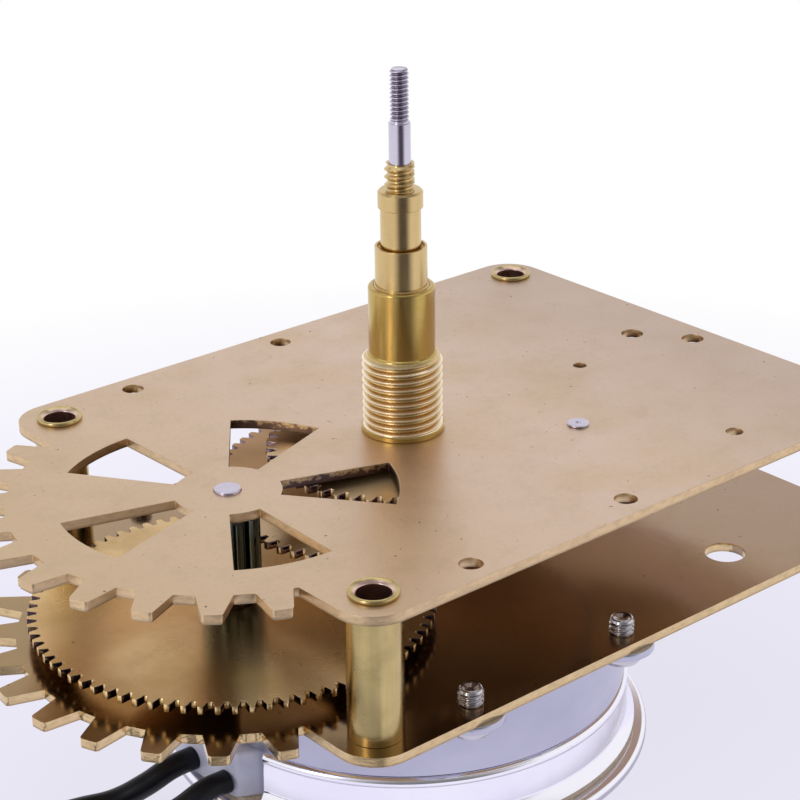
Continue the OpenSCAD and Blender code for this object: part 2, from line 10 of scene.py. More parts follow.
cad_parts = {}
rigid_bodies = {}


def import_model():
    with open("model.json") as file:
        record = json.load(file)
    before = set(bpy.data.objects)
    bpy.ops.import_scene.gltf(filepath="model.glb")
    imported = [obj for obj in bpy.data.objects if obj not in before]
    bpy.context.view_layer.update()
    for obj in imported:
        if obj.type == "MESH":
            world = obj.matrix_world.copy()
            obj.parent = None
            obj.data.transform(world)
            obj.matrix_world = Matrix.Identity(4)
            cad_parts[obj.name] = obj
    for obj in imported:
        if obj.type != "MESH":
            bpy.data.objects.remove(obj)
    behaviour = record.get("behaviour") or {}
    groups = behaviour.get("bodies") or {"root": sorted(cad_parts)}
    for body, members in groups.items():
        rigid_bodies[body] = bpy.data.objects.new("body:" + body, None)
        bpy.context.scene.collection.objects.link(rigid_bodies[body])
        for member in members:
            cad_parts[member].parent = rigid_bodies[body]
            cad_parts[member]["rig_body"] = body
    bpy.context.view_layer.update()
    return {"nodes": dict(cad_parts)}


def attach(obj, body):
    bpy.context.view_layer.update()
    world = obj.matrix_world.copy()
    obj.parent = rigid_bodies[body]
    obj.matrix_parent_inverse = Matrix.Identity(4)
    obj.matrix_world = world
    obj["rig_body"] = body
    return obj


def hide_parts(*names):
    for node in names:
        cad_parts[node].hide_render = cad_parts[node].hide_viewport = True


MM = 0.001
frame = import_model()

# Heights in millimetres, as the frame has them.
FRONT_OUT = -0.7
FRONT_IN = -1.9
BACK_IN = -18.1
BACK_OUT = -19.3
FLANGE_Z = -20.3
CASE_LOW = -33.7
FLOOR_Z = -43.7

# Places beside the hands' axis, in millimetres.
INTER_X = -27.2
MOTION_REACH = 21.9
MOTION_ANGLE = math.radians(-40)
MOTION_X = MOTION_REACH * math.cos(MOTION_ANGLE)
MOTION_Y = MOTION_REACH * math.sin(MOTION_ANGLE)
PILLAR_MIDDLE = 8.4
PILLAR_HALF_X = 39.1
PILLAR_HALF_Y = 31
PILLAR_BORE = 1.95
SCREW_X = (-18.3, 6.0)
SCREW_Y = (-32.8, 32.8)

# The camera that fits the photograph.
CAMERA_PLACE = (-162.74, -191.59, 111.89)
CAMERA_ANGLES = (-40.27, 23.43, -0.69)
CAMERA_LENS = 99.13


def link(piece, material=None):
    """Put an object in the scene, with its material if it has one."""
    bpy.context.scene.collection.objects.link(piece)
    if material:
        piece.data.materials.append(material)
    return piece


def lens_axes(azimuth, elevation, roll):
    """Right, up and back directions of a camera, from angles in degrees."""
    a, e, r = (math.radians(v) for v in (azimuth, elevation, roll))
    right = Vector((math.cos(a), math.sin(a), 0))
    back = Vector((math.sin(a) * math.cos(e), -math.cos(a) * math.cos(e), math.sin(e)))
    up = back.cross(right)
    tilted = right * math.cos(r) + up * math.sin(r)
    return tilted, back.cross(tilted), back


def make_camera():
    data = bpy.data.cameras.new("camera")
    data.sensor_fit = "HORIZONTAL"
    data.sensor_width = 36
    data.lens = CAMERA_LENS
    data.clip_start = 0.01
    camera = link(bpy.data.objects.new("camera", data))
    place = Matrix(lens_axes(*CAMERA_ANGLES)).transposed().to_4x4()
    place.translation = Vector(CAMERA_PLACE) * MM
    camera.matrix_world = place
    bpy.context.scene.camera = camera


make_camera()


# Node materials
# Sockets of the mix node that carry colours, and metres that stand for a radian of angle.
MIX_COLOURS = (6, 7)
MIX_RESULT = 2
RADIAN = 0.01


class Nodes:
    """Short hand for building a node tree."""

    def __init__(self, tree):
        self.tree = tree

    def add(self, kind, **values):
        node = self.tree.nodes.new(kind)
        for key, value in values.items():
            setattr(node, key, value)
        return node

    def link(self, output, node, socket):
        self.tree.links.new(output, node.inputs[socket])

    def set(self, node, socket, value):
        """Put a number, a tuple or an output into a socket."""
        if isinstance(value, bpy.types.NodeSocket):
            self.link(value, node, socket)
        else:
            node.inputs[socket].default_value = value

    def ramp(self, value, low, high, out_low=0.0, out_high=1.0):
        node = self.add("ShaderNodeMapRange")
        self.link(value, node, "Value")
        limits = {"From Min": low, "From Max": high, "To Min": out_low, "To Max": out_high}
        for socket, limit in limits.items():
            node.inputs[socket].default_value = limit
        return node.outputs["Result"]

    def math(self, operation, a, b=None):
        node = self.add("ShaderNodeMath", operation=operation)
        self.set(node, 0, a)
        if b is not None:
            self.set(node, 1, b)
        return node.outputs[0]

    def vector(self, operation, a, b=None):
        """Result of a vector operation, a number for a length or a dot product."""
        node = self.add("ShaderNodeVectorMath", operation=operation)
        self.set(node, 0, a)
        if b is not None:
            self.set(node, 1, b)
        return node.outputs["Value" if operation in ("LENGTH", "DOT_PRODUCT") else "Vector"]

    def axis(self, number, source=None):
        """One coordinate of a vector, or of the place on the object in metres."""
        split = self.add("ShaderNodeSeparateXYZ")
        self.link(source or self.where, split, 0)
        return split.outputs[number]

    def mix(self, factor, a, b):
        """Blend of two colours, each a tuple or an output."""
        node = self.add("ShaderNodeMix", data_type="RGBA")
        self.link(factor, node, 0)
        for socket, colour in zip(MIX_COLOURS, (a, b)):
            self.set(node, socket, (*colour, 1) if isinstance(colour, tuple) else colour)
        return node.outputs[MIX_RESULT]


class Surface(Nodes):
    """One material on the object's own coordinates."""

    def __init__(self, name):
        self.material = bpy.data.materials.new(name)
        self.material.use_nodes = True
        super().__init__(self.material.node_tree)
        self.shader = self.tree.nodes["Principled BSDF"]
        self.where = self.add("ShaderNodeTexCoord").outputs["Object"]

    def noise(self, scale, detail, rough, source=None, turn=0.0):
        """Noise on coordinates stretched by scale, given per millimetre, and turned about Z."""
        stretch = self.add("ShaderNodeMapping")
        stretch.inputs["Scale"].default_value = [part / MM for part in scale]
        stretch.inputs["Rotation"].default_value = (0, 0, turn)
        self.link(source or self.where, stretch, "Vector")
        node = self.add("ShaderNodeTexNoise")
        node.inputs["Scale"].default_value = 1
        node.inputs["Detail"].default_value = detail
        node.inputs["Roughness"].default_value = rough
        self.link(stretch.outputs[0], node, "Vector")
        return node.outputs["Fac"]

    def polar(self, x=0):
        """Distance from an upright axis, angle about it (RADIAN metres each) and height."""
        moved = self.vector("SUBTRACT", self.where, (x * MM, 0, 0))
        px, py, pz = (self.axis(i, moved) for i in range(3))
        square = self.math("ADD", self.math("MULTIPLY", px, px), self.math("MULTIPLY", py, py))
        join = self.add("ShaderNodeCombineXYZ")
        self.link(self.math("SQRT", square), join, 0)
        self.link(self.math("MULTIPLY", self.math("ARCTAN2", py, px), RADIAN), join, 1)
        self.link(pz, join, 2)
        return join.outputs[0]

    def side_mask(self, level=0.75, upright=0.45):
        """1 on upright faces, 0 on level ones, from the normal's share along Z."""
        normal = self.add("ShaderNodeNewGeometry").outputs["Normal"]
        return self.ramp(self.math("ABSOLUTE", self.axis(2, normal)), level, upright)

    def bump(self, height, strength, distance, after=None):
        """Normal of a relief so many millimetres deep, on top of an earlier one."""
        node = self.add("ShaderNodeBump")
        node.inputs["Strength"].default_value = strength
        node.inputs["Distance"].default_value = distance * MM
        self.link(height, node, "Height")
        if after:
            self.link(after, node, "Normal")
        return node.outputs[0]

    def finish(self, colour, rough, normal, metal=1.0):
        self.shader.inputs["Metallic"].default_value = metal
        self.set(self.shader, "Base Color", colour)
        self.set(self.shader, "Roughness", rough)
        self.link(normal, self.shader, "Normal")
        return self.material


def shade(colour, level):
    return tuple(min(1.0, level * part) for part in colour)


def stained_face(n, tones, stains, scratch):
    """Colour of a plate's level faces."""
    straight, pink, warm = tones
    along = n.ramp(n.axis(0), 10 * MM, -60 * MM)
    colour = n.mix(n.math("MAXIMUM", n.math("MULTIPLY", stains, 0.6), along), pink, warm)
    colour = n.mix(n.ramp(n.axis(0), 15 * MM, 45 * MM), colour, straight)
    blotch = n.ramp(n.noise((0.22, 0.22, 0.3), 5, 0.7), 0.48, 0.72, 0.0, 0.34)
    colour = n.mix(blotch, colour, shade(warm, 0.8))
    mottle = n.ramp(n.noise((1.6, 1.6, 1.6), 3, 0.7), 0.5, 0.8, 0.0, 0.25)
    colour = n.mix(mottle, colour, shade(warm, 0.7))
    specks = n.ramp(n.noise((1.1, 1.1, 1.1), 2, 0.5), 0.73, 0.77, 0.0, 0.8)
    colour = n.mix(specks, colour, (0.11, 0.07, 0.045))
    return n.mix(n.math("MULTIPLY", scratch, 0.3), colour, shade(pink, 1.3))


def sheared_edge(n, edge, low, marks):
    """Colour of a plate's cut edges: bright above, darker towards the lower face."""
    cut = n.mix(n.ramp(marks, 0.4, 0.75, 0.0, 0.8), edge, shade(edge, 0.66))
    darker_towards_lower_face = n.math("ADD", n.axis(2), n.ramp(marks, 0.3, 0.7, 0, 0.3 * MM))
    darker_towards_lower_face = n.ramp(darker_towards_lower_face, (low + 0.5) * MM, (low + 0.2) * MM, 0.0, 0.75)
    return n.mix(darker_towards_lower_face, cut, shade(edge, 0.4))


def window_grease(n, low, amount, side):
    """Where grease clings to the edges of the windows about the open wheel."""
    about = n.vector("LENGTH", n.vector("SUBTRACT", n.where, (INTER_X * MM, 0, 0)))
    near = n.math("MULTIPLY", n.ramp(about, 23 * MM, 20 * MM), side)
    near = n.math("MULTIPLY", near, n.ramp(n.axis(0), (INTER_X + 3) * MM, (INTER_X + 7) * MM))
    blobs = n.noise((0.9, 0.9, 1.4), 4, 0.7)
    upper = n.ramp(n.axis(2), (low + 0.3) * MM, (low + 1.2) * MM, 0.0, 0.25)
    wet = n.ramp(n.math("SUBTRACT", blobs, upper), 0.28, 0.4, 0.0, amount)
    return n.math("MULTIPLY", near, wet)


def sheet_brass(name, tones, edge, low, rough, grease=0.0):
    """Rolled brass sheet: cloudy stains, few specks and scratches, sheared edges.

    tones are its colours at the straight end, in the middle and at the toothed end, low is
    the height of its lower face, and grease the amount about the open wheel."""
    n = Surface(name)
    stains = n.ramp(n.noise((0.06, 0.08, 0.2), 4, 0.55), 0.38, 0.62)
    first = n.ramp(n.noise((0.1, 18, 18), 2, 0.4, turn=0.5), 0.75, 0.77)
    second = n.ramp(n.noise((0.13, 15, 15), 2, 0.4, turn=-0.9), 0.76, 0.78)
    scratch = n.math("ADD", first, second)
    side = n.side_mask()
    marks = n.noise((0.9, 0.9, 2.2), 4, 0.6)
    face = stained_face(n, tones, stains, scratch)
    colour = n.mix(side, face, sheared_edge(n, edge, low, marks))
    surface = n.ramp(stains, 0, 1, rough, rough + 0.06)
    if grease:
        wet = window_grease(n, low, grease, side)
        colour = n.mix(wet, colour, (0.07, 0.045, 0.07))
        surface = n.math("SUBTRACT", surface, n.math("MULTIPLY", wet, 0.12))
    normal = n.bump(n.noise((0.5, 0.5, 0.5), 3, 0.6), 0.035, 0.25)
    normal = n.bump(n.noise((7, 7, 7), 2, 0.6), 0.05, 0.03, normal)
    normal = n.bump(scratch, 0.06, 0.03, normal)
    normal = n.bump(n.math("MULTIPLY", marks, side), 0.15, 0.1, normal)
    return n.finish(colour, surface, normal)


def turned(name, base, dark, x=0, rough=0.18, ridge=0.12, crest=None, root=None):
    """Turned metal: rings from the lathe round an upright axis, with faint tarnish.

    crest and root are (radius, colour) of a thread: a painted highlight on the crests and painted
    shade in the grooves."""
    n = Surface(name)
    round_about = n.polar(x)
    rings = n.noise((5, 0.3, 9), 3, 0.6, source=round_about)
    tarnish = n.noise((0.25, 0.25, 0.12), 4, 0.6)
    patch = n.ramp(tarnish, 0.4, 0.75, 0.0, 0.3)
    colour = n.mix(patch, base, dark)
    colour = n.mix(n.ramp(rings, 0.4, 0.8, 0.0, 0.25), colour, dark)
    # Painted highlight on the thread's crests and painted shade in its grooves.
    if crest:
        depth = n.ramp(n.axis(0, round_about), crest[0] * MM, root[0] * MM)
        depth = n.math("MULTIPLY", depth, n.side_mask(0.97, 0.9))
        colour = n.mix(depth, n.mix(patch, crest[1], base), root[1])
    surface = n.ramp(tarnish, 0.3, 0.8, rough, rough + 0.1)
    return n.finish(colour, surface, n.bump(rings, ridge, 0.03))


def rolled_brass(name, base, dark):
    """Drawn brass of the pillars: soft upright streaks, pinkish in the bore."""
    n = Surface(name)
    streak = n.noise((0.9, 0.9, 0.05), 3, 0.55)
    tarnish = n.noise((0.3, 0.3, 0.3), 4, 0.6)
    colour = n.mix(n.ramp(streak, 0.35, 0.7, 0.0, 0.45), base, dark)
    colour = n.mix(n.ramp(tarnish, 0.45, 0.75, 0.0, 0.4), colour, shade(dark, 0.8))
    moved = n.vector("ABSOLUTE", n.vector("SUBTRACT", n.where, (PILLAR_MIDDLE * MM, 0, 0)))
    moved = n.vector("SUBTRACT", moved, (PILLAR_HALF_X * MM, PILLAR_HALF_Y * MM, 0))
    away = n.vector("LENGTH", n.vector("MULTIPLY", moved, (1, 1, 0)))
    inside = n.ramp(away, (PILLAR_BORE + 0.45) * MM, (PILLAR_BORE + 0.25) * MM)
    colour = n.mix(inside, colour, (0.75, 0.54, 0.46))
    surface = n.ramp(tarnish, 0.3, 0.8, 0.2, 0.32)
    return n.finish(colour, surface, n.bump(streak, 0.04, 0.05))


def wheel_brass(name, x, y, base, dark, rough=0.3, grease=(0.22, 0.155, 0.19)):
    """Blanked wheel, turned flat: cloudy brass with dark tooth flanks, partly grease and partly
    painted shade between the teeth.
    """
    n = Surface(name)
    cloud = n.noise((0.1, 0.1, 0.3), 4, 0.6)
    colour = n.mix(n.ramp(cloud, 0.38, 0.7, 0.0, 0.6), base, dark)
    specks = n.ramp(n.noise((1.3, 1.3, 1.3), 2, 0.5), 0.71, 0.77, 0.0, 0.7)
    colour = n.mix(specks, colour, shade(dark, 0.3))
    turn = n.add("ShaderNodeVectorTransform", vector_type="NORMAL")
    turn.convert_from = "WORLD"
    turn.convert_to = "OBJECT"
    n.link(n.add("ShaderNodeNewGeometry").outputs["Normal"], turn, 0)
    out = n.vector("MULTIPLY", n.vector("SUBTRACT", n.where, (x * MM, y * MM, 0)), (1, 1, 0))
    facing = n.vector("DOT_PRODUCT", turn.outputs[0], n.vector("NORMALIZE", out))
    # Dark tooth flanks: partly grease, partly painted shade in the gaps between the teeth.
    flank_grease_and_shade = n.math("MULTIPLY", n.side_mask(), n.ramp(n.math("ABSOLUTE", facing), 0.92, 0.75))
    blobs = n.noise((0.45, 0.45, 0.8), 4, 0.65)
    wet = n.math("MULTIPLY", flank_grease_and_shade, n.ramp(blobs, 0.36, 0.5, 0.75, 1.0))
    colour = n.mix(wet, colour, grease)
    surface = n.ramp(cloud, 0.3, 0.8, rough, rough + 0.08)
    surface = n.math("SUBTRACT", surface, n.math("MULTIPLY", wet, 0.2))
    tangent = n.add("ShaderNodeTangent", direction_type="RADIAL", axis="Z")
    n.link(tangent.outputs[0], n.shader, "Tangent")
    n.shader.inputs["Anisotropic"].default_value = 0.8
    n.shader.inputs["Anisotropic Rotation"].default_value = 0.25
    normal = n.bump(n.noise((3, 3, 3), 3, 0.6), 0.05, 0.04)
    return n.finish(colour, surface, n.bump(n.math("MULTIPLY", blobs, wet), 0.25, 0.25, normal))


def zinc(name, bright, dull, rough):
    """Bright zinc on drawn steel: fine draw lines, cloudy sheen and small scuffs."""
    n = Surface(name)
    draw = n.noise((0.5, 0.12, 2.2), 3, 0.6, source=n.polar())
    cloud = n.noise((0.06, 0.06, 0.12), 3, 0.55)
    scuff = n.ramp(n.noise((0.35, 0.35, 1.2), 3, 0.5), 0.7, 0.76, 0.0, 0.35)
    colour = n.mix(n.ramp(cloud, 0.35, 0.7), bright, dull)
    colour = n.mix(scuff, colour, shade(dull, 0.7))
    surface = n.ramp(cloud, 0.3, 0.75, rough, rough + 0.08)
    return n.finish(colour, surface, n.bump(draw, 0.05, 0.05))


def moulded(name):
    """Cloudy white plastic with a faint orange peel."""
    n = Surface(name)
    cloud = n.noise((0.3, 0.3, 0.3), 3, 0.5)
    colour = n.mix(n.ramp(cloud, 0.35, 0.7), (0.78, 0.81, 1.0), (0.64, 0.67, 0.86))
    n.shader.inputs["Subsurface Weight"].default_value = 0.35
    n.shader.inputs["Subsurface Scale"].default_value = 0.002
    n.shader.inputs["Subsurface Radius"].default_value = (1, 0.9, 0.9)
    peel = n.bump(n.noise((4, 4, 4), 2, 0.5), 0.08, 0.05)
    return n.finish(colour, n.ramp(cloud, 0.3, 0.8, 0.26, 0.4), peel, metal=0.0)


def sleeving(name):
    """Black silicone sleeving: satin, with dust and faint handling marks."""
    n = Surface(name)
    dust = n.ramp(n.noise((2.2, 2.2, 2.2), 3, 0.6), 0.68, 0.76, 0.0, 0.2)
    smear = n.noise((0.25, 0.25, 0.25), 3, 0.6)
    colour = n.mix(n.ramp(smear, 0.35, 0.7), (0.003, 0.0035, 0.007), (0.007, 0.008, 0.014))
    colour = n.mix(dust, colour, (0.08, 0.08, 0.1))
    n.shader.inputs["Specular IOR Level"].default_value = 0.3
    skin = n.bump(n.noise((8, 8, 8), 2, 0.5), 0.1, 0.04)
    return n.finish(colour, n.ramp(smear, 0.3, 0.75, 0.34, 0.5), skin, metal=0.0)


def sealant(name):
    """Pale fibre ring squeezed between can and cover."""
    n = Surface(name)
    grain = n.noise((3, 3, 3), 3, 0.6)
    colour = n.mix(n.ramp(grain, 0.3, 0.7), (0.8, 0.67, 0.52), (0.58, 0.46, 0.34))
    return n.finish(colour, 0.6, n.bump(grain, 0.3, 0.1), metal=0.0)


FRONT = sheet_brass(
    "front plate brass", ((0.62, 0.475, 0.385), (0.74, 0.565, 0.455), (0.69, 0.51, 0.32)),
    edge=(0.74, 0.54, 0.33), low=FRONT_IN, rough=0.36, grease=0.9,
)
BACK = sheet_brass(
    "back plate brass", ((0.39, 0.265, 0.185), (0.37, 0.255, 0.17), (0.4, 0.27, 0.13)),
    edge=(0.74, 0.55, 0.3), low=BACK_OUT, rough=0.14,
)
BUSH = turned("bush brass", (0.56, 0.4, 0.13), (0.4, 0.26, 0.07), rough=0.15)
BUSH_CUT = turned(
    "bush thread brass", (0.8, 0.62, 0.44), (0.55, 0.38, 0.23), rough=0.24,
    crest=(4.85, (1.0, 0.87, 0.66)), root=(4.65, (0.68, 0.5, 0.25)),
)
PIPE = turned("pipe brass", (0.66, 0.49, 0.24), (0.46, 0.31, 0.12))
HUB = turned("hub brass", (0.74, 0.54, 0.28), (0.46, 0.3, 0.12))
PILLAR = rolled_brass("pillar brass", (0.62, 0.49, 0.23), (0.45, 0.335, 0.135))
ARBOR = turned("arbor steel", (0.64, 0.6, 0.73), (0.46, 0.43, 0.53), rough=0.16)
ARBOR_CUT = turned(
    "arbor thread steel", (0.36, 0.33, 0.42), (0.26, 0.23, 0.31), rough=0.22,
    crest=(1.12, (0.74, 0.7, 0.84)), root=(0.97, (0.25, 0.21, 0.29)),
)
DARK = turned(
    "hardened steel", (0.1, 0.12, 0.12), (0.04, 0.045, 0.045), x=INTER_X, rough=0.14, ridge=0.05,
)
GREASED = turned(
    "greased brass", (0.02, 0.02, 0.022), (0.09, 0.06, 0.03), x=INTER_X, rough=0.08, ridge=0.05,
)
SCREW = turned("screw steel", (0.62, 0.6, 0.64), (0.4, 0.38, 0.42), rough=0.16, ridge=0.05)
BRONZE = turned("bronze", (0.5, 0.3, 0.14), (0.3, 0.17, 0.08), rough=0.4)
# Case and flange take a darker copy of the can's zinc: painted shade for the shadow under the
# plates.
SHADED_CASE_ZINC = zinc("shaded case zinc", (0.53, 0.53, 0.64), (0.46, 0.46, 0.57), 0.24)
CAN_ZINC = zinc("can zinc", (0.96, 0.95, 1.0), (0.89, 0.88, 0.98), 0.12)
PLASTIC = moulded("white plastic")
SLEEVE = sleeving("black sleeving")
SEAL = sealant("sealant")
GREAT = wheel_brass(
    "great wheel brass", INTER_X, 0, (0.88, 0.64, 0.34), (0.54, 0.36, 0.12),
    rough=0.24, grease=(0.055, 0.035, 0.05),
)
TRAIN_TONES = ((0.66, 0.48, 0.28), (0.46, 0.32, 0.16))
CENTRE = wheel_brass("centre wheel brass", 0, 0, *TRAIN_TONES)
MOTION = wheel_brass("motion wheel brass", MOTION_X, MOTION_Y, *TRAIN_TONES)


# Leads
LEAD_R = 1.5
WIRE_R = 0.85
CORE_R = 0.45
BARE_END = 8
LEAD_EXIT_Z = CASE_LOW - 4.8
BLOCK_FACE = 30.8
GROUND = FLOOR_Z + LEAD_R
LEFT_ROUTE = [
    (-BLOCK_FACE, 5, LEAD_EXIT_Z), (-34, 5, LEAD_EXIT_Z), (-37.4, 6, LEAD_EXIT_Z - 1.6),
    (-41, 7.8, GROUND + 0.4), (-45, 9.5, GROUND + 0.08), (-51, 11, GROUND), (-58, 12, GROUND),
    (-65, 11.5, GROUND), (-72, 9, GROUND), (-78, 4.5, GROUND), (-82, -2, GROUND),
    (-84, -10, GROUND), (-84, -20, GROUND), (-82, -31, GROUND), (-79.5, -42, GROUND),
    (-75, -53, GROUND), (-68.5, -62.5, GROUND), (-60, -69, GROUND), (-50, -73, GROUND),
    (-40, -74.5, GROUND),
]
RIGHT_ROUTE = [
    (-BLOCK_FACE, -2, LEAD_EXIT_Z), (-34, -2, LEAD_EXIT_Z), (-37.4, -1.2, LEAD_EXIT_Z - 1.6),
    (-41, 0.4, GROUND + 0.4), (-45, 2.4, GROUND + 0.08), (-51, 4.2, GROUND), (-58, 5.4, GROUND),
    (-64, 4.8, GROUND), (-70, 2.4, GROUND), (-74.6, -2, GROUND), (-77.6, -8, GROUND),
    (-79, -15, GROUND), (-79, -24, GROUND), (-77, -34, GROUND), (-74.2, -44, GROUND),
    (-70, -53, GROUND), (-64, -60.5, GROUND), (-56, -65.5, GROUND), (-47, -68.5, GROUND),
    (-38, -69.5, GROUND),
]


def tube(name, route, radius, material):
    """A round curve through a route in millimetres."""
    curve = bpy.data.curves.new(name, "CURVE")
    curve.dimensions = "3D"
    curve.bevel_depth = radius * MM
    curve.bevel_resolution = 6
    curve.resolution_u = 8
    curve.use_fill_caps = True
    spline = curve.splines.new("BEZIER")
    spline.bezier_points.add(len(route) - 1)
    for point, place in zip(spline.bezier_points, route):
        point.co = Vector(place) * MM
        point.handle_left_type = "AUTO"
        point.handle_right_type = "AUTO"
    return link(bpy.data.objects.new(name, curve), material)


def make_lead(name, route):
    """A sleeve along the route, with the wire and its bare core out of the far end."""
    last, before = Vector(route[-1]), Vector(route[-2])
    along = (last - before).normalized()
    end = last - BARE_END * along
    sleeve = tube(name + "_sleeve", route[:-1] + [tuple(end)], LEAD_R, SLEEVE)
    wire = tube(name + "_wire", [tuple(end - 2 * along), tuple(end + 4 * along)], WIRE_R, SLEEVE)
    core = tube(name + "_core", [tuple(end + 3 * along), tuple(last)], CORE_R, ARBOR)
    for piece in (sleeve, wire, core):
        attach(piece, "frame")
    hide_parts(name)


make_lead("lead_left", LEFT_ROUTE)
make_lead("lead_right", RIGHT_ROUTE)


# Shapes
CREST_HALF = 0.06
ROOT_HALF = 0.13
FLANK = 0.5 - CREST_HALF - ROOT_HALF
FLAT_ANGLE = math.radians(0.6)
EASED_ANGLE = math.radians(28)


def keep_shape(node, material, bevel, segments=2):
    """The CAD node's shape with eased edges, as a piece of its own."""
    source = frame["nodes"][node]
    shape = bmesh.new()
    shape.from_mesh(source.data)
    bmesh.ops.remove_doubles(shape, verts=shape.verts, dist=0.001 * MM)
    bmesh.ops.dissolve_limit(shape, angle_limit=FLAT_ANGLE, verts=shape.verts, edges=shape.edges)
    shape.verts.ensure_lookup_table()
    data = bpy.data.meshes.new(node + "_eased")
    faces = [[v.index for v in f.verts] for f in shape.faces]
    data.from_pydata([v.co for v in shape.verts], [], faces)
    shape.free()
    for face in data.polygons:
        face.use_smooth = True
    piece = link(bpy.data.objects.new(node + "_eased", data), material)
    ease = piece.modifiers.new("eased edges", "BEVEL")
    ease.width = bevel * MM
    ease.segments = segments
    ease.limit_method = "ANGLE"
    ease.angle_limit = EASED_ANGLE
    even = piece.modifiers.new("even faces", "WEIGHTED_NORMAL")
    even.mode = "FACE_AREA"
    even.weight = 100
    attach(piece, source["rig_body"])
    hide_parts(node)


def held(section):
    """The section with a point close to each end of its long sides, which keeps them flat."""
    margin = 0.04
    points = []
    for a, b in zip(section, section[1:] + section[:1]):
        points.append(a)
        length = math.dist(a, b)
        if length > 4 * margin:
            for share in (margin / length, 1 - margin / length):
                points.append((a[0] + share * (b[0] - a[0]), a[1] + share * (b[1] - a[1])))
    return points


def ring_point(radius, turn, z):
    """A place at a radius and a share of a full turn about the origin."""
    angle = 2 * math.pi * turn
    return (radius * math.cos(angle), radius * math.sin(angle), z)


def spun(name, section, material, sides=96, centre=(0, 0)):
    """A closed section of (radius, height) points in millimetres, turned round an upright axis."""
    section = held(section)
    count = len(section)
    verts = [ring_point(r, i / sides, z) for i in range(sides) for r, z in section]
    faces = []
    for i in range(sides):
        j = (i + 1) % sides
        for k in range(count):
            m = (k + 1) % count
            faces.append((i * count + k, j * count + k, j * count + m, i * count + m))
    return solid(name, verts, faces, material, centre)


def solid(name, verts, faces, material, centre, sharp=40):
    """A closed mesh from places in millimetres, moved sideways to its centre."""
    placed = [((centre[0] + x) * MM, (centre[1] + y) * MM, z * MM) for x, y, z in verts]
    data = bpy.data.meshes.new(name)
    data.from_pydata(placed, [], faces)
    shape = bmesh.new()
    shape.from_mesh(data)
    bmesh.ops.remove_doubles(shape, verts=shape.verts, dist=0.0005 * MM)
    bmesh.ops.recalc_face_normals(shape, faces=shape.faces)
    shape.to_mesh(data)
    shape.free()
    for face in data.polygons:
        face.use_smooth = True
    data.set_sharp_from_angle(angle=math.radians(sharp))
    return link(bpy.data.objects.new(name, data), material)


def groove(phase):
    """Share of a thread's depth at a place in its pitch: 0 on the crest, 1 at the root."""
    away = min(phase % 1, 1 - phase % 1)
    return min(1.0, max(0.0, (away - CREST_HALF) / FLANK))


def close_ends(verts, faces, low_ring, high_ring, bore):
    """Cap the two end rings of a thread, or line it with a bore."""
    if not bore:
        faces.append(tuple(reversed(low_ring)))
        faces.append(tuple(high_ring))
        return
    around = len(low_ring)
    inner = len(verts)
    for ring in (low_ring, high_ring):
        z = verts[ring[0]][2]
        verts.extend([ring_point(bore, i / around, z) for i in range(around)])
    for i in range(around):
        j = (i + 1) % around
        faces.append((low_ring[i], inner + i, inner + j, low_ring[j]))
        faces.append((high_ring[i], high_ring[j], inner + around + j, inner + around + i))
        faces.append((inner + i, inner + around + i, inner + around + j, inner + j))


def thread(name, material, crest, pitch, depth, low, high, start=0.0, bore=0.0, chamfer=(0, 0),
           run_out=(0, 0), flat=None, centre=(0, 0), around=72):
    """A right-handed thread with straight flanks, on a grid whose rows follow the helix.

    start is the crest's place in turns at angle 0, chamfer and run_out are lengths at the
    low and high end, and flat is the direction and distance of a face filed on the thread."""
    half = [CREST_HALF + part for part in (0, 0.03, FLANK / 2, FLANK - 0.03, FLANK)]
    places = half + [1 - place for place in reversed(half)]
    count = len(places)
    rows = count * (math.ceil((high - low) / pitch) + 4)
    first = math.floor(low / pitch - start) - 2 + start

    def radius(turn, z):
        sunk = depth * groove(z / pitch - turn - start)
        for length, end in zip(run_out, (z - low, high - z)):
            if length:
                sunk *= min(1.0, end / length)
        r = crest - sunk
        for length, end in zip(chamfer, (z - low, high - z)):
            if length:
                r = min(r, crest - length + end)
        if flat:
            away = math.cos(2 * math.pi * turn - math.radians(flat[0]))
            if away > 0:
                r = min(r, flat[1] / away)
        return r

    verts = []
    for i in range(around):
        turn = i / around
        for row in range(rows):
            z = pitch * (first + turn + row // count + places[row % count])
            z = min(high, max(low, z))
            verts.append(ring_point(radius(turn, z), turn, z))
    faces = []
    for i in range(around):
        j = (i + 1) % around
        shift = count if j == 0 else 0
        for row in range(rows - 1 - shift):
            a, b = i * rows + row, j * rows + row + shift
            faces.append((a, b, b + 1, a + 1))
    low_ring = [i * rows for i in range(around)]
    high_ring = [i * rows + rows - 1 for i in range(around)]
    close_ends(verts, faces, low_ring, high_ring, bore)
    return solid(name, verts, faces, material, centre, sharp=70)


def group(body, slot, *pieces, node=None):
    """These pieces ride on a body and may together stand for a CAD node. The slot is not used."""
    for piece in pieces:
        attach(piece, body)
        if node:
            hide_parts(node)


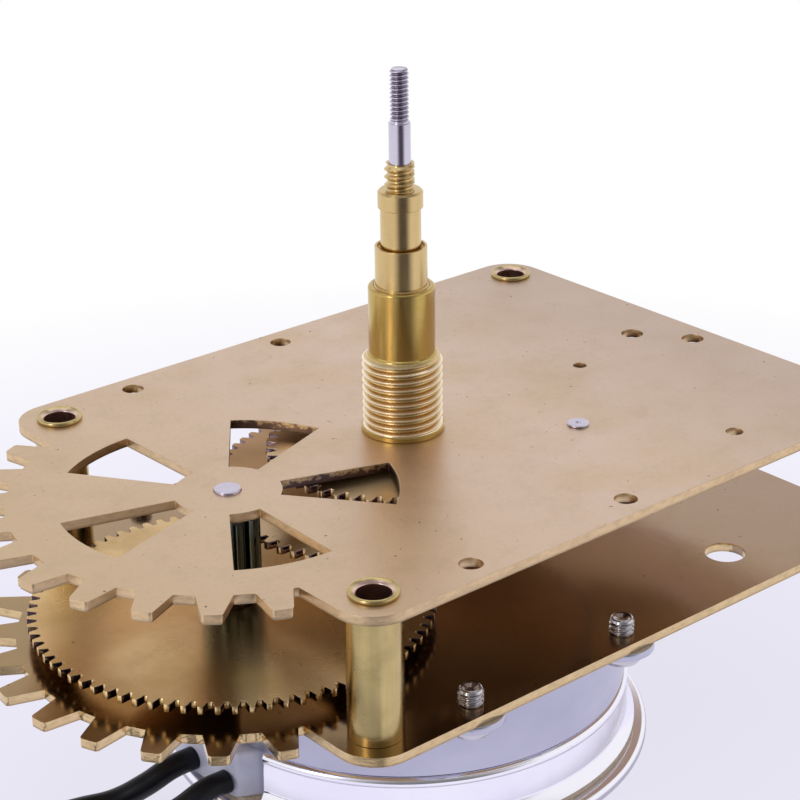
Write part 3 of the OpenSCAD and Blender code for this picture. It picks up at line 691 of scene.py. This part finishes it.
# Plates and wheels keep the CAD shape, with eased edges.
for name, material in (("front_plate", FRONT), ("back_plate", BACK)):
    keep_shape(name, material, bevel=0.12)
for name, material in (
    ("intermediate_wheel", GREAT), ("minute_wheel", CENTRE), ("hour_wheel", CENTRE),
    ("motion_wheel", MOTION), ("minute_pinion", CENTRE), ("motion_pinion", MOTION),
):
    keep_shape(name, material, bevel=0.04, segments=1)
for name in ("second_pinion", "intermediate_pinion", "stud_clip"):
    keep_shape(name, DARK, bevel=0.06)
for name, material in (("drive_sleeve", HUB), ("minute_hub", HUB), ("intermediate_hub", GREASED)):
    keep_shape(name, material, bevel=0.12)
for name in ("motion_stud", "intermediate_arbor", "output_shaft"):
    keep_shape(name, ARBOR, bevel=0.1)
keep_shape("output_bush", BRONZE, bevel=0.1)
keep_shape("sealing_ring", SEAL, bevel=0.1)
keep_shape("mounting_flange", SHADED_CASE_ZINC, bevel=0.15)
keep_shape("gearbox_case", SHADED_CASE_ZINC, bevel=0.15)
keep_shape("motor_can", CAN_ZINC, bevel=0.3, segments=4)
keep_shape("base_cover", CAN_ZINC, bevel=0.25, segments=4)
keep_shape("terminal_block", PLASTIC, bevel=0.5, segments=4)
keep_shape("hour_pipe", PIPE, bevel=0.08)
keep_shape("pillars", PILLAR, bevel=0.08)

# Dial bush: foot ring, helical thread and neck.
BORE = 3.45
RIVET_R = 4.3
RIVET_END = FRONT_IN - 0.3
FOOT_R = 5.2
NECK_R = 4.1
BUSH_THREAD = 9.45
BUSH_TOP = 18.3
ring = spun("bush_foot", [
    (BORE, RIVET_END), (RIVET_R, RIVET_END), (RIVET_R, FRONT_OUT), (FOOT_R - 0.1, FRONT_OUT),
    (FOOT_R, FRONT_OUT + 0.1), (FOOT_R, -0.1), (FOOT_R - 0.1, 0), (BORE, 0),
], BUSH)
screw_part = thread(
    "bush_thread", BUSH_CUT, crest=5.0, pitch=1.0, depth=0.6, low=0, high=BUSH_THREAD,
    start=0.512, bore=BORE, chamfer=(0, 0.6), run_out=(0.3, 0),
)
neck = spun("bush_neck", [
    (BORE, BUSH_THREAD), (NECK_R + 0.25, BUSH_THREAD), (NECK_R + 0.2, BUSH_THREAD + 0.15),
    (NECK_R, BUSH_THREAD + 0.3), (NECK_R, BUSH_TOP - 0.3), (NECK_R - 0.05, BUSH_TOP - 0.15),
    (NECK_R - 0.15, BUSH_TOP - 0.05), (NECK_R - 0.3, BUSH_TOP), (BORE, BUSH_TOP),
], BUSH)
group("frame", "turned_brass", ring, screw_part, neck, node="dial_bush")

# Minute pipe: plain pipe, collar and a short thread with a flat.
MINUTE_BORE = 1.375
MINUTE_R = 2.475
COLLAR_R = 2.75
MINUTE_FOOT = -9.1
MINUTE_TOP = 28.2
COLLAR_TOP = 30.4
MINUTE_END = 33.7
body = spun("minute_pipe_body", [
    (MINUTE_BORE, MINUTE_FOOT), (MINUTE_R - 0.125, MINUTE_FOOT), (MINUTE_R, MINUTE_FOOT + 0.15),
    (MINUTE_R, MINUTE_TOP), (MINUTE_BORE, MINUTE_TOP),
], PIPE)
collar = spun("minute_pipe_collar", [
    (MINUTE_BORE, MINUTE_TOP), (COLLAR_R - 0.07, MINUTE_TOP), (COLLAR_R, MINUTE_TOP + 0.07),
    (COLLAR_R, COLLAR_TOP - 0.25), (COLLAR_R - 0.25, COLLAR_TOP), (MINUTE_BORE, COLLAR_TOP),
], PIPE)
end = thread(
    "minute_pipe_thread", PIPE, crest=1.9, pitch=0.975, depth=0.36, low=COLLAR_TOP, high=MINUTE_END,
    start=0.429, bore=MINUTE_BORE, chamfer=(0, 0.15), flat=(-40, 1.72),
)
group("minutes", "turned_brass", body, collar, end, node="minute_pipe")

# Seconds arbor: plain arbor with a shoulder and a fine thread.
ARBOR_R = 1.325
SHOULDER_R = 2.2
ARBOR_FOOT = -18.35
SHOULDER_Z = (-10.2, -9.4)
SECOND_TOP = 38.7
SECOND_END = 45.15
arbor = spun("second_arbor_body", [
    (0, ARBOR_FOOT), (ARBOR_R - 0.125, ARBOR_FOOT), (ARBOR_R, ARBOR_FOOT + 0.15),
    (ARBOR_R, SHOULDER_Z[0]), (SHOULDER_R, SHOULDER_Z[0]), (SHOULDER_R, SHOULDER_Z[1]),
    (ARBOR_R, SHOULDER_Z[1]), (ARBOR_R, SECOND_TOP - 0.08), (ARBOR_R - 0.08, SECOND_TOP),
    (0, SECOND_TOP),
], ARBOR)
tip = thread(
    "second_arbor_thread", ARBOR_CUT, crest=1.15, pitch=0.52, depth=0.24, low=SECOND_TOP,
    high=SECOND_END, start=0.785, chamfer=(0, 0.2), run_out=(0.5, 0),
)
group("seconds", "bright_steel", arbor, tip, node="second_arbor")

# Motor screws: pan heads below the ears, threads above the back plate.
HEAD_R = 2.7
SCREW_END = BACK_IN + 1.8
SCREW_CUP = SCREW_END - 0.4
for i, (x, y) in enumerate([(x, y) for x in SCREW_X for y in SCREW_Y]):
    head = spun(f"screw_head_{i}", [
        (0, FLANGE_Z - 1.9), (HEAD_R - 1, FLANGE_Z - 1.88), (HEAD_R - 0.35, FLANGE_Z - 1.6),
        (HEAD_R - 0.05, FLANGE_Z - 1.1), (HEAD_R, FLANGE_Z - 0.6), (HEAD_R, FLANGE_Z), (0, FLANGE_Z),
    ], SCREW, sides=48, centre=(x, y))
    shank = thread(
        f"screw_thread_{i}", SCREW, crest=1.5, pitch=0.6, depth=0.28, low=FLANGE_Z, high=SCREW_CUP,
        centre=(x, y), around=48,
    )
    cup = spun(f"screw_end_{i}", [
        (0, SCREW_CUP), (1.45, SCREW_CUP), (1.32, SCREW_END - 0.1), (1.15, SCREW_END),
        (0.95, SCREW_END - 0.05), (0.4, SCREW_END - 0.35), (0, SCREW_END - 0.37),
    ], SCREW, sides=48, centre=(x, y))
    group("frame", "bright_steel", head, shank, cup, node="motor_screws")


# Stage and light
# The dim side is where reflections find no white wall in the world, and a floor painted dark.
DIM_ANGLE = math.radians(-118)
DIM_SIDE = (math.cos(DIM_ANGLE), math.sin(DIM_ANGLE), 0)
SHADOW_EDGE = (0.07, 0.17)


def make_stage():
    """A pale floor, white far off, with a soft lavender shadow, partly real and partly painted.

    Its glow is painted lavender and dimmer near the object. Mirrored in the metal, it has a
    painted shadow under the motor and painted shade towards the dim side."""
    n = Surface("floor")
    path = n.add("ShaderNodeLightPath").outputs
    far = n.vector("LENGTH", n.where)
    front = n.vector("DOT_PRODUCT", n.vector("NORMALIZE", n.where), DIM_SIDE)
    # Painted shade towards the dim side, seen only in reflections.
    dim = n.math("MULTIPLY", n.ramp(front, 0.7, 0.96), n.ramp(far, 0.1, 0.16))
    # A painted shadow under the motor, seen only in reflections.
    painted_shadow_near_base = n.ramp(far, 0.038, 0.033, 0.0, 0.6)
    painted_dark_in_mirror = n.math("MULTIPLY", n.math("MAXIMUM", dim, painted_shadow_near_base), path["Is Glossy Ray"])
    n.link(n.mix(painted_dark_in_mirror, (0.86, 0.84, 1.0), (0.08, 0.07, 0.09)), n.shader, "Base Color")
    n.shader.inputs["Roughness"].default_value = 0.9
    glow = n.add("ShaderNodeEmission")
    # Painted soft shadow: the glow is lavender and dimmer near the object and white far off.
    n.link(n.mix(n.ramp(far, *SHADOW_EDGE), (0.9, 0.88, 1.0), (1.0, 1.0, 1.0)), glow, "Color")
    glow.inputs["Strength"].default_value = 1
    seen = n.math("MAXIMUM", path["Is Camera Ray"], path["Is Transmission Ray"])
    seen = n.math("MULTIPLY", seen, n.ramp(far, *SHADOW_EDGE, 0.8, 1.0))
    seen = n.math("MAXIMUM", seen, n.math("SUBTRACT", path["Is Glossy Ray"], painted_dark_in_mirror))
    mix = n.add("ShaderNodeMixShader")
    n.link(seen, mix, 0)
    n.link(n.shader.outputs[0], mix, 1)
    n.link(glow.outputs[0], mix, 2)
    n.link(mix.outputs[0], n.tree.nodes["Material Output"], "Surface")
    bpy.ops.mesh.primitive_plane_add(size=6, location=(0, 0, FLOOR_Z * MM - 0.00002))
    floor = bpy.context.object
    floor.name = "floor"
    floor.data.materials.append(n.material)


def make_world():
    """White studio all round, dark on the dim side and dimmer overhead."""
    world = bpy.data.worlds.new("world")
    bpy.context.scene.world = world
    world.use_nodes = True
    world.node_tree.nodes.clear()
    n = Nodes(world.node_tree)
    direction = n.add("ShaderNodeTexCoord").outputs["Generated"]
    wall = n.ramp(n.vector("DOT_PRODUCT", direction, DIM_SIDE), 0.55, 0.9, 0.95, 0.22)
    ceiling = n.ramp(n.axis(2, direction), 0.45, 0.8, 1.0, 0.35)
    level = n.math("MULTIPLY", wall, ceiling)
    camera = n.add("ShaderNodeLightPath").outputs["Is Camera Ray"]
    sky = n.add("ShaderNodeBackground")
    n.link(n.math("MAXIMUM", level, camera), sky, "Strength")
    sky.inputs["Color"].default_value = (1.0, 0.99, 1.0, 1)
    n.link(sky.outputs[0], n.add("ShaderNodeOutputWorld"), "Surface")


def make_lamp(name, place, size, power):
    """A soft box that points at the origin, in metres and watts."""
    data = bpy.data.lights.new(name, "AREA")
    data.shape = "RECTANGLE"
    data.size = size[0]
    data.size_y = size[1]
    data.energy = power
    lamp = link(bpy.data.objects.new(name, data))
    lamp.location = place
    lamp.rotation_euler = (-Vector(place)).to_track_quat("-Z", "Y").to_euler()


make_stage()
make_world()
make_lamp("top", place=(0.05, 0.15, 0.6), size=(0.7, 0.5), power=0.9)
make_lamp("left", place=(-0.6, -0.085, 0.26), size=(0.17, 0.3), power=0.5)
bpy.context.scene.view_settings.view_transform = "Standard"
